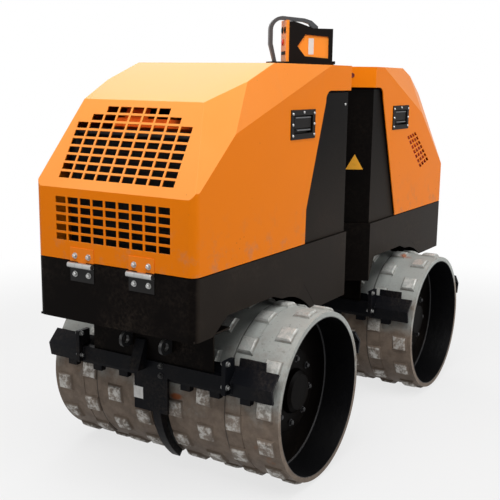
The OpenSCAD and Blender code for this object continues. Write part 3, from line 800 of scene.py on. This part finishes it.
class ROLLER_OT_hinge_bolts(bpy.types.Operator):
    """Bolt both leaves of every hood hinge"""

    bl_idname = "roller.hinge_bolts"
    bl_label = "Hinge bolts"

    def execute(self, context):
        _, sizes, _ = properties()
        for unit, way, _ in UNITS:
            # Each leaf and what it is bolted to, and how far its bolts are above the hinge's axis, in mm
            for node, body, rise in (("hood_hinges", "hood", 26), ("hinge_brackets", "frame", -27)):
                self.leaf_bolts(f"{unit}_{node}", f"{unit}_{body}", way, rise * MM, sizes.bolt)
        return {"FINISHED"}

    def leaf_bolts(self, node, body, way, rise, flats):
        """Two bolts on each hinge's leaf, put on from outside, each at its own turn."""
        leaf_half, spread = 44 * MM, 25 * MM
        axis = joint_place(f"{node.split('_')[0]}_hood_lift")
        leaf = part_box(node)[1].y - leaf_half
        bm = bmesh.new()
        for side in (-1, 1):
            for step in (-1, 1):
                start = (axis.x + way * AFAR, side * leaf + step * spread, axis.z + rise)
                place, normal = seat(node, start, (-way, 0, 0))
                hex_bolt(bm, aim(place, normal, side + 0.3 * step), flats)
        make(f"{node}_bolts", bm, finish_of("pivot_pin"), body)


class ROLLER_OT_scraper_fittings(bpy.types.Operator):
    """Clamp bolts, bracket bolts and weld beads of the drum scrapers"""

    bl_idname = "roller.scraper_fittings"
    bl_label = "Scraper fittings"

    def execute(self, context):
        colours, sizes, _ = properties()
        dull = zinc_plate("dull_zinc", shade(colours.zinc, 0.5))
        for unit, way, axle in UNITS:
            for node, side in (("scraper_bar", way), ("inner_scraper", -way)):
                name = f"{unit}_{node}"
                self.clamp_bolts(name, f"{unit}_frame", axle, side, sizes.bolt, dull)
                self.bracket_bolts(name, f"{unit}_frame", axle, side, sizes.bolt)
                self.beads(name, f"{unit}_frame", axle, side)
        return {"FINISHED"}

    def clamp_bolts(self, name, body, axle, out, flats, dull):
        """Bolts through both clamps of a bar, seen on their outer and inner faces, each at its own turn."""
        x = axle.x + out * 307 * MM
        bm = bmesh.new()
        for _, side in SIDES:
            for z in (437 * MM, 367 * MM):
                for start, toward in ((AFAR, -side), (200 * MM, side)):
                    place, normal = seat(name, (x, side * start, z), (0, toward, 0))
                    hex_bolt(bm, aim(place, normal, z * 90), flats)
        make(f"{name}_bolts", bm, dull, body)

    def bracket_bolts(self, name, body, axle, out, flats):
        """Two larger bolts, one above the other on the middle bracket."""
        bm = bmesh.new()
        for z in (385 * MM, 355 * MM):
            place, normal = seat(name, (axle.x + out * AFAR, 40 * MM, z), (-out, 0, 0))
            hex_bolt(bm, aim(place, normal, z * 70), flats * 1.1)
        make(f"{name}_bracket_bolts", bm, finish_of("front_lashing_eyes"), body)

    def beads(self, name, body, axle, out):
        """Weld beads up both faces of the plates that hold a bar's ends."""
        foot, top, pitch, size = 346 * MM, 392 * MM, 4.5 * MM, 4 * MM
        bm = bmesh.new()
        for _, side in SIDES:
            for y in (265 * MM, 284 * MM):
                z = foot
                while z < top:
                    place, _ = seat(name, (axle.x + out * AFAR, side * y, z), (-out, 0, 0))
                    matrix = Matrix.Translation(place)
                    bmesh.ops.create_icosphere(bm, subdivisions=1, radius=size, matrix=matrix)
                    z += pitch
        make(f"{name}_welds", bm, finish_of(name), body, 60)


class ROLLER_OT_latch_fittings(bpy.types.Operator):
    """Screws and the paddle's folded lips on the four hood latches"""

    bl_idname = "roller.latch_fittings"
    bl_label = "Latch fittings"

    def execute(self, context):
        _, sizes, _ = properties()
        for unit, _, _ in UNITS:
            for side, way in SIDES:
                self.latch(f"{unit}_latch_{side}", f"{unit}_hood", way, sizes.screw)
        return {"FINISHED"}

    def latch(self, node, body, way, screw):
        low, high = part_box(node)
        middle = (low + high) / 2
        face = high.y if way > 0 else low.y
        # Screws in mm from the flange's middle, with each one's turn: three down each end, one at the top
        places = [(x, 33 * row, row) for x in (-69, 69) for row in (-1, 0, 1)] + [(0, 37, 0)]
        # Lips in mm: above the middle, half their length, and how deep in the pan
        shapes = ((21, 50, 4), (-17, 44, 2))
        screws, lips = bmesh.new(), bmesh.new()
        for x, z, spin in places:
            pan_screw(screws, aim((middle.x + x * MM, face, middle.z + z * MM), (0, way, 0), spin), screw)
        for up, half, deep in shapes:
            at = Matrix.Translation((middle.x, face - way * deep * MM, middle.z + up * MM))
            corner = Vector((half, 3, 2.5)) * MM
            block(lips, at, -corner, corner, 1.6 * MM)
        make(f"{node}_screws", screws, finish_of("pivot_pin"), body)
        # The lips take the hoop's paler grey, which paints a highlight along the paddle's edges.
        make(f"{node}_lips", lips, finish_of("transmitter_guard"), body)


class ROLLER_OT_hubs(bpy.types.Operator):
    """Black webs, their weld seams and the bolted motor flanges inside the drums"""

    bl_idname = "roller.hubs"
    bl_label = "Drum hubs"

    def execute(self, context):
        colours, sizes, _ = properties()
        enamel = black_enamel("web_black", shade(colours.black, 0.5), colours.dust, 0.03, gloss=0.02)
        steel = black_enamel("worn_black_steel", (0.020, 0.020, 0.022), colours.dust, 0.1, gloss=0.25)
        for unit, _, axle in UNITS:
            for side, way in SIDES:
                self.hub(f"{unit}_drum_{side}", f"{unit}_drums", axle, way, sizes, enamel, steel)
        return {"FINISHED"}

    def hub(self, node, body, axle, way, sizes, enamel, steel):
        low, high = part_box(node)
        depth = (high.y if way > 0 else low.y) - way * sizes.web
        at = aim((axle.x, depth, axle.z), (0, way, 0))
        # Radius and height over the web, in mm: the web, its flange and the motor's cap, then the seam
        rim, flange = INSIDE_RADIUS / MM, 14
        steps = (
            (0, -12), (rim - 0.5, -12), (rim - 0.5, 0), (132, 0), (130, 12), (122, flange),
            (72, flange), (68, 30), (56, 38), (20, 40), (0, 40),
        )
        seam = ((rim - 0.2, 0.2), (rim - 0.2, 4), (rim - 2.5, 3.2), (rim - 4.2, 0.2))
        web, fittings = bmesh.new(), bmesh.new()
        turn(web, at, steps, 64)
        turn(fittings, at, seam, 64, ring=True)
        bolts, circle = 8, 102 * MM
        for i in range(bolts):
            angle = math.tau * i / bolts + math.radians(8)
            across = Vector((math.cos(angle), 0, math.sin(angle))) * circle
            place = Vector((axle.x, depth + way * flange * MM, axle.z)) + across
            hex_bolt(fittings, aim(place, (0, way, 0), angle), sizes.bolt * 1.3)
        make(f"{node}_web", web, enamel, body)
        make(f"{node}_fittings", fittings, steel, body)


class ROLLER_OT_bay_fittings(bpy.types.Operator):
    """Ribs, lid, cap and bolts on the casings that stand under the hoods"""

    bl_idname = "roller.bay_fittings"
    bl_label = "Bay fittings"

    def execute(self, context):
        _, sizes, _ = properties()
        self.fit("engine_block", "front_frame", 5, sizes.bolt)
        self.fit("hydraulic_tank", "rear_frame", 3, sizes.bolt)
        return {"FINISHED"}

    def fit(self, node, body, ribs, flats):
        low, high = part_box(node)
        middle = (low + high) / 2
        half = (high - low) / 2
        casing, bolts = bmesh.new(), bmesh.new()
        self.lid(casing, bolts, Vector((middle.x, middle.y, high.z)), half, flats)
        sunk, proud, thick = 2 * MM, 7 * MM, 5 * MM
        for _, side in SIDES:
            face = middle.y + side * half.y
            y0, y1 = sorted((face - side * sunk, face + side * proud))
            for i in range(ribs):
                x = middle.x + half.x * 0.75 * (2 * i / (ribs - 1) - 1)
                rib = ((x - thick, y0, low.z + 20 * MM), (x + thick, y1, high.z - 24 * MM))
                block(casing, WORLD_AXES, *rib, 2 * MM)
        make(f"{node}_fittings", casing, finish_of(node), body)
        make(f"{node}_bolts", bolts, finish_of("pivot_pin"), body)

    def lid(self, casing, bolts, top, half, flats):
        """A bolted lid with a filler cap."""
        thick, inset = 14 * MM, 14 * MM
        reach = Vector((half.x * 0.66, half.y * 0.62, 0))
        rise = thick * UP
        block(casing, Matrix.Translation(top), -reach - MM * UP, reach + rise, 4 * MM)
        for x in (-1, 0, 1):
            for y in (-1, 1):
                place = top + rise + Vector((x * (reach.x - inset), y * (reach.y - inset), 0))
                hex_bolt(bolts, aim(place, UP, x), flats)
        cap = Matrix.Translation(top + Vector((half.x * 0.25, 0, thick - MM)))
        cone(casing, cap, 0, 13 * MM, 26 * MM, 24 * MM, 36)


class ROLLER_OT_radiator_core(bpy.types.Operator):
    """Fins and tubes of the radiator behind the front grilles, and the hood's brace above it"""

    bl_idname = "roller.radiator_core"
    bl_label = "Radiator core"

    def execute(self, context):
        colours, sizes, _ = properties()
        low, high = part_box("radiator")
        front = high.x
        margin, fin, tube, header = 8 * MM, 0.4 * MM, 1.5 * MM, 16 * MM
        bm = bmesh.new()
        y = low.y + 12 * MM
        while y < high.y - 12 * MM:
            near, far = (front, y - fin, low.z + margin), (front + 11 * MM, y + fin, high.z - margin)
            block(bm, WORLD_AXES, near, far)
            y += sizes.fin
        z = low.z + 20 * MM
        while z < high.z - 20 * MM:
            near, far = (front, low.y + margin, z - tube), (front + 7 * MM, high.y - margin, z + tube)
            block(bm, WORLD_AXES, near, far)
            z += 24 * MM
        for foot in (low.z, high.z - header):
            near, far = (front, low.y, foot), (front + 14 * MM, high.y, foot + header)
            block(bm, WORLD_AXES, near, far, 3 * MM)
        for _, side in SIDES:
            y0, y1 = sorted((side * (high.y - 2 * MM), side * (high.y + 26 * MM)))
            block(bm, WORLD_AXES, (low.x, y0, low.z), (front + 20 * MM, y1, high.z), 2 * MM)
        make("radiator_core", bm, core_finish(colours.iron), "front_frame")
        self.brace(moulded_plastic("primer_red", colours.primer, 0.5, 0.1))
        return {"FINISHED"}

    def brace(self, primer):
        """The folded strip that stiffens the front hood behind its upper grille."""
        low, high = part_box("front_grille_upper")
        below = Vector((high.x + AFAR, 0, low.z - 8 * MM))
        _, outward = seat("front_hood", below, (-1, 0, 0))
        at = upright(Vector((low.x, 0, high.z)), -outward)
        bm = bmesh.new()
        # Opposite corners of the strip, its flange and its tab, in mm
        for near, far in (
            ((-52, -100, 30), (-26, 205, 32)),
            ((-54, -100, 30), (-52, 205, 46)),
            ((-26, -70, 30), (4, 15, 32)),
        ):
            block(bm, at, Vector(near) * MM, Vector(far) * MM, 0.6 * MM, 1)
        make("hood_brace", bm, primer, "front_hood")


class ROLLER_OT_signs(bpy.types.Operator):
    """Blank warning triangle and blank tag"""

    bl_idname = "roller.signs"
    bl_label = "Blank signs"

    def execute(self, context):
        colours, _, _ = properties()
        self.triangle(plain_sign("blank_yellow", colours.sign, (0.10, 0.06, 0.02)))
        self.tag(plain_sign("blank_white", (0.72, 0.72, 0.70), (0.20, 0.17, 0.14)))
        return {"FINISHED"}

    def triangle(self, finish):
        """On the rear tower's slanting front, point up."""
        ahead = Vector((PIVOT.x + AFAR, 222 * MM, 929 * MM))
        bm = bmesh.new()
        at = upright(*seat("rear_tower", ahead, (-1, 0, 0)), -math.tau / 4)
        soften(bm, cone(bm, at, 0, 1 * MM, 37 * MM, 37 * MM, 3), 0.4 * MM)
        make("blank_triangle", bm, finish, "rear_frame")

    def tag(self, finish):
        """On the front scraper's middle bracket."""
        _, way, axle = UNITS[0]
        ahead = Vector((axle.x + way * AFAR, -50 * MM, 284 * MM))
        bm = bmesh.new()
        at = aim(*seat("front_scraper_bar", ahead, (-way, 0, 0)))
        block(bm, at, (-18 * MM, -19 * MM, 0), (18 * MM, 19 * MM, 1 * MM), 0.4 * MM, 1)
        make("scraper_tag", bm, finish, "front_frame")


class ROLLER_OT_transmitter_controls(bpy.types.Operator):
    """Stop button, drive keys and blank label of the hand transmitter"""

    bl_idname = "roller.transmitter_controls"
    bl_label = "Transmitter controls"

    def execute(self, context):
        colours, _, _ = properties()
        low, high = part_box("transmitter_frame")
        middle = (low + high) / 2
        foot = Matrix.Translation((middle.x, middle.y, ROOF)) @ Matrix.Rotation(TRANSMITTER_TURN, 4, "Z")
        self.stop(foot, moulded_plastic("stop_red", colours.stop, 0.25, 0.5))
        self.keys(foot, finish_of("transmitter_frame"))
        self.label(foot, plain_sign("label_white", (0.60, 0.60, 0.58), (0.25, 0.22, 0.2)))
        return {"FINISHED"}

    def on_panel(self, foot, across, up):
        """Stands on the control panel, which faces away from the case; in mm from the foot."""
        out = foot.to_3x3() @ Vector((0, -1, 0))
        start = foot @ Vector((across * MM, -AFAR, up * MM))
        place, _ = seat("transmitter_case", start, -out)
        return aim(place, out)

    def stop(self, foot, finish):
        bm = bmesh.new()
        rows = ((0, 0), (10, 0), (10.5, 2.5), (9.5, 4.5), (5, 5.6), (0, 5.8))
        turn(bm, self.on_panel(foot, -10, 73), rows, 28)
        make("stop_button", bm, finish, "front_hood")

    def keys(self, foot, finish):
        bm = bmesh.new()
        rows = ((0, 0), (11, 0), (11, 1.5), (9, 2.6), (8, 1.6), (0, 1.4))
        for across in (-20, 20):
            turn(bm, self.on_panel(foot, across, 112), rows, 24)
        for across in (-20, 0, 20):
            at = self.on_panel(foot, across, 38)
            block(bm, at, (-6 * MM, -6 * MM, 0), (6 * MM, 6 * MM, 2.4 * MM), 1 * MM)
        make("transmitter_keys", bm, finish, "front_hood")

    def label(self, foot, finish):
        turned = foot.to_3x3()
        start = foot @ Vector((AFAR, 1 * MM, 60 * MM))
        place, _ = seat("transmitter_case", start, turned @ Vector((-1, 0, 0)))
        at = Matrix.Translation(place) @ turned.to_4x4()
        bm = bmesh.new()
        block(bm, at, (0, -9 * MM, -26 * MM), (0.6 * MM, 9 * MM, 26 * MM), 0.25 * MM, 1)
        make("transmitter_label", bm, finish, "front_hood")


class ROLLER_OT_small_screws(bpy.types.Operator):
    """Screws of the front tower's panels and the lock in the rear hood's lip"""

    bl_idname = "roller.small_screws"
    bl_label = "Panel screws"

    def execute(self, context):
        _, sizes, _ = properties()
        _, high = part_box("front_tower")
        bm = bmesh.new()
        for _, side in SIDES:
            outside = Vector((PIVOT.x + 84 * MM, side * AFAR, high.z - 40 * MM))
            pan_screw(bm, aim(*seat("front_tower", outside, (0, -side, 0))), sizes.screw)
        make("front_tower_screws", bm, finish_of("pivot_pin"), "front_frame")
        self.lock()
        return {"FINISHED"}

    def lock(self):
        """A dark plug, taller than it is wide."""
        ahead = Vector((PIVOT.x + AFAR, 209 * MM, 1248 * MM))
        at = upright(*seat("rear_hood", ahead, (-1, 0, 0))) @ Matrix.Diagonal((1.9, 1, 1, 1))
        rows = ((0, -1), (4.4, -1), (4.6, 1), (3.8, 1.6), (2.6, 1.2), (2, 0.2), (0, 0))
        bm = bmesh.new()
        turn(bm, at, rows, 28)
        make("lip_lock", bm, moulded_plastic("dark_red_plug", (0.14, 0.010, 0.008), 0.4), "rear_hood")


class ROLLER_OT_stage(bpy.types.Operator):
    """Set the floor, the lamps and the camera"""

    bl_idname = "roller.stage"
    bl_label = "Studio"

    def execute(self, context):
        _, _, studio = properties()
        self.floor(half=30)
        # Place, what it lights, and size, in metres
        self.lamp("key_light", (1.9, 0.5, 3.9), (0.2, 0, 0.8), (3.2, 2.6), studio.key)
        self.lamp("side_light", (-1.8, 4.2, 1.9), (0, 0, 0.8), (3.0, 2.4), studio.side)
        self.lamp("back_light", (-2.3, -2.3, 3.6), (0, 0, 1.0), (2.4, 2.4), studio.back)
        self.world(studio.sky)
        self.camera(studio)
        context.scene.view_settings.view_transform = "Standard"
        return {"FINISHED"}

    def link(self, name, data):
        item = bpy.data.objects.new(name, data)
        bpy.context.scene.collection.objects.link(item)
        return item

    def floor(self, half):
        bm = bmesh.new()
        bmesh.ops.create_grid(bm, x_segments=1, y_segments=1, size=half)
        data = bpy.data.meshes.new("floor")
        bm.to_mesh(data)
        bm.free()
        data.materials.append(self.floor_white())
        self.link("floor", data)

    def floor_white(self):
        """Matt grey that takes the shadow; what shows the background sees it glow, fully white far off."""
        f = Finish("floor_white", roughness=0.9, base_color=(0.5, 0.5, 0.5))
        far = hypot(f.axis("X"), f.axis("Y")).between(1.6, 3.2)
        glow = f.node("ShaderNodeEmission", {}, {"Color": (1, 1, 1), "Strength": 1.0})
        lit = Value(f, f.shader.outputs["BSDF"])
        mixed = f.node("ShaderNodeMixShader", {}, {0: f.seen() * (0.74 + 0.26 * far), 1: lit, 2: glow})
        f.feed(f.tree.nodes["Material Output"].inputs["Surface"], mixed)
        return f.material

    def lamp(self, name, place, target, size, power):
        light = bpy.data.lights.new(name, "AREA")
        light.shape = "RECTANGLE"
        light.size, light.size_y = size
        light.energy = power
        lamp = self.link(name, light)
        lamp.location = place
        lamp.rotation_euler = (Vector(target) - Vector(place)).to_track_quat("-Z", "Y").to_euler()

    def world(self, level):
        """White where the background shows, and a plain light of the given level for all else."""
        world = bpy.data.worlds.new("studio")
        bpy.context.scene.world = world
        world.use_nodes = True
        nodes = Nodes(world.node_tree)
        background = nodes.tree.nodes["Background"]
        inputs = {"Value": nodes.seen(), "To Min": level, "To Max": 1.0}
        strength = nodes.node("ShaderNodeMapRange", {}, inputs)
        nodes.feed(background.inputs["Color"], (1, 1, 1))
        nodes.feed(background.inputs["Strength"], strength)

    def camera(self, studio):
        data = bpy.data.cameras.new("camera")
        data.lens = studio.lens
        data.sensor_width = 36
        data.clip_start, data.clip_end = 0.05, 100
        forward = Vector((
            math.cos(studio.heading) * math.cos(studio.tilt),
            math.sin(studio.heading) * math.cos(studio.tilt),
            -math.sin(studio.tilt),
        ))
        right = forward.cross(UP).normalized()
        look = Matrix((right, right.cross(forward), -forward)).transposed().to_4x4()
        camera = self.link("camera", data)
        camera.matrix_world = Matrix.Translation(studio.camera) @ look @ Matrix.Rotation(studio.roll, 4, "Z")
        bpy.context.scene.camera = camera


OPERATORS = (
    ROLLER_OT_finishes, ROLLER_OT_hoods, ROLLER_OT_chassis, ROLLER_OT_arch_lips, ROLLER_OT_louvre_ducts,
    ROLLER_OT_drums, ROLLER_OT_hinge_bolts, ROLLER_OT_scraper_fittings, ROLLER_OT_latch_fittings,
    ROLLER_OT_hubs, ROLLER_OT_bay_fittings, ROLLER_OT_radiator_core, ROLLER_OT_signs,
    ROLLER_OT_transmitter_controls, ROLLER_OT_small_screws, ROLLER_OT_stage,
)


class ROLLER_PT_panel(bpy.types.Panel):
    """Steps that dress the trench roller"""

    bl_label = "Trench roller"
    bl_idname = "ROLLER_PT_panel"
    bl_space_type = "VIEW_3D"
    bl_region_type = "UI"
    bl_category = "Roller"

    def draw(self, context):
        for step in OPERATORS:
            self.layout.operator(step.bl_idname)
        for group in properties():
            for key in group.__annotations__:
                self.layout.prop(group, key)


CLASSES = (RollerColours, RollerSizes, RollerStudio, *OPERATORS, ROLLER_PT_panel)


def register():
    for cls in CLASSES:
        bpy.utils.register_class(cls)
    bpy.types.Scene.roller_colours = bpy.props.PointerProperty(type=RollerColours)
    bpy.types.Scene.roller_sizes = bpy.props.PointerProperty(type=RollerSizes)
    bpy.types.Scene.roller_studio = bpy.props.PointerProperty(type=RollerStudio)


def unregister():
    del bpy.types.Scene.roller_studio
    del bpy.types.Scene.roller_sizes
    del bpy.types.Scene.roller_colours
    for cls in reversed(CLASSES):
        bpy.utils.unregister_class(cls)


def main():
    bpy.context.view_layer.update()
    register()
    for step in OPERATORS:
        group, name = step.bl_idname.split(".")
        getattr(getattr(bpy.ops, group), name)()


if __name__ == "__main__":
    main()
